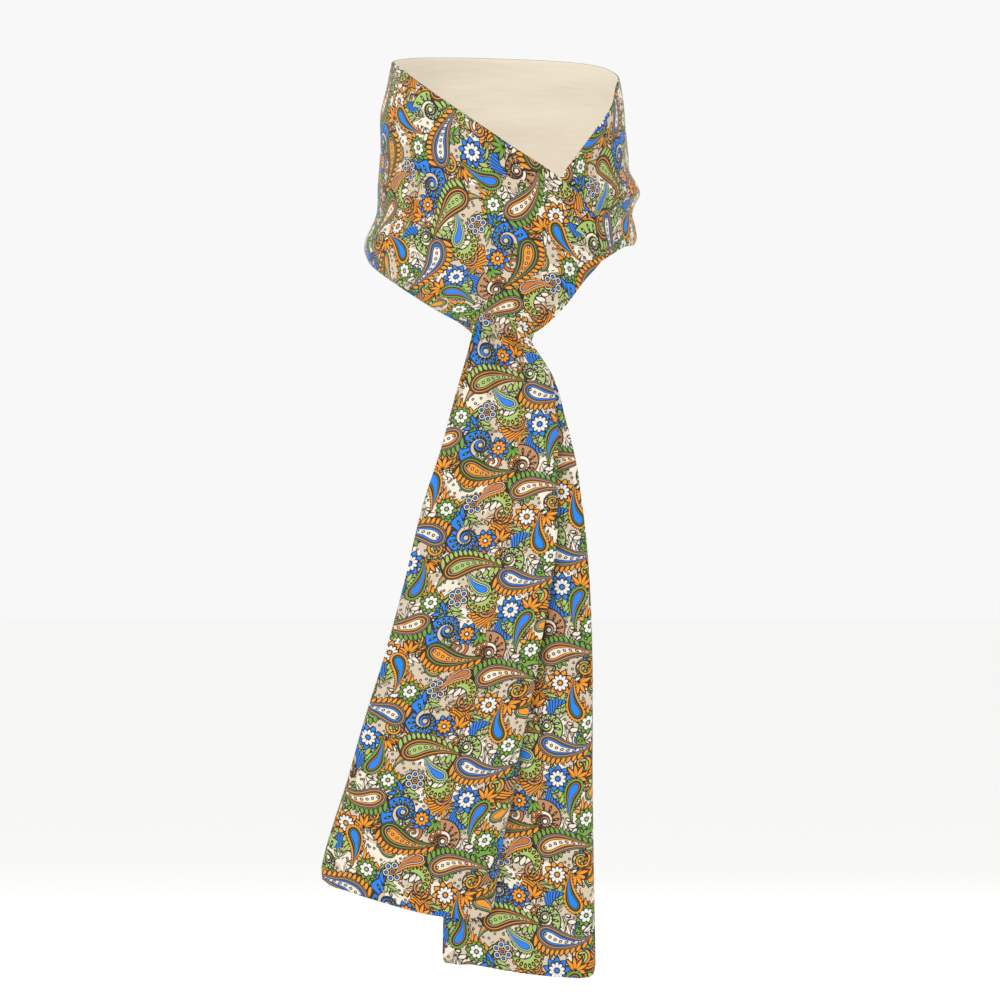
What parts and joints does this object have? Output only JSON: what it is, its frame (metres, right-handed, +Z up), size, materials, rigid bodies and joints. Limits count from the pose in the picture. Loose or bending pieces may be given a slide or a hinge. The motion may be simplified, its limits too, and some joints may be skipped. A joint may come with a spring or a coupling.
{
  "type": "necktie",
  "caption": "Soft printed scarf-style necktie tied round an empty neck: flat swath crossing the front, small loose knot, and two square-cut tails of unequal length.",
  "frame": {"origin": "centre of the neck opening, level with the base of the neck", "axes": "+Z up along the neck, -Y to the wearer's front, where the knot and tails are, +X to the side where the under strand comes down"},
  "size_m": [0.1809, 0.1865, 0.5188],
  "materials": {
    "printed_cloth": "satin",
    "lining_cloth": "satin",
    "sewing_thread": "matte",
    "label_tape": "matte"
  },
  "bodies": {
    "neck_loop": {"neck_back_outer_ply": "printed_cloth", "neck_back_inner_ply": "lining_cloth", "neck_back_seam_thread": "sewing_thread", "front_swath_outer_ply": "printed_cloth", "front_swath_inner_ply": "lining_cloth", "front_swath_seam_thread": "sewing_thread", "side_strand_outer_ply": "printed_cloth", "side_strand_inner_ply": "lining_cloth", "swath_turned_end": "lining_cloth", "strand_inside_knot": "printed_cloth"},
    "knot": {"knot_turn": "printed_cloth", "knot_tongue": "printed_cloth"},
    "tail_gathers": {"front_tail_gathers": "printed_cloth", "rear_tail_gathers": "printed_cloth"},
    "front_tail_top": {"front_tail_top_outer_ply": "printed_cloth", "front_tail_top_inner_ply": "lining_cloth", "front_tail_top_seam_thread": "sewing_thread"},
    "front_tail_middle": {"front_tail_middle_outer_ply": "printed_cloth", "front_tail_middle_inner_ply": "lining_cloth", "front_tail_middle_seam_thread": "sewing_thread"},
    "front_tail_end": {"front_tail_end_outer_ply": "printed_cloth", "front_tail_end_inner_ply": "lining_cloth", "front_tail_end_seam_thread": "sewing_thread", "front_tail_hem_thread": "sewing_thread"},
    "rear_tail": {"rear_tail_outer_ply": "printed_cloth", "rear_tail_inner_ply": "lining_cloth", "rear_tail_seam_thread": "sewing_thread", "rear_tail_hem_thread": "sewing_thread", "care_label": "label_tape", "care_label_thread": "sewing_thread"}
  },
  "joints": [
    {"name": "knot_slide", "type": "slide", "parent": "neck_loop", "child": "knot", "axis": [0, 0, -1], "range_m": [0, 0.02]},
    {"name": "tails_lift", "type": "hinge", "parent": "knot", "child": "tail_gathers", "pos_m": [0, -0.0875, -0.0545], "axis": [-1, 0, 0], "range_deg": [0, 60]},
    {"name": "front_tail_swing", "type": "hinge", "parent": "tail_gathers", "child": "front_tail_top", "pos_m": [-0.001, -0.086, -0.04], "axis": [0, 1, 0], "range_deg": [-10, 10]},
    {"name": "front_tail_fold", "type": "hinge", "parent": "front_tail_top", "child": "front_tail_middle", "pos_m": [0, -0.10695, -0.15], "axis": [-1, 0, 0], "range_deg": [0, 80]},
    {"name": "front_tail_end_fold", "type": "hinge", "parent": "front_tail_middle", "child": "front_tail_end", "pos_m": [0, -0.11495, -0.262], "axis": [-1, 0, 0], "range_deg": [0, 90]},
    {"name": "rear_tail_swing", "type": "hinge", "parent": "tail_gathers", "child": "rear_tail", "pos_m": [-0.001, -0.08, -0.04], "axis": [0, 1, 0], "range_deg": [-6, 6]}
  ]
}
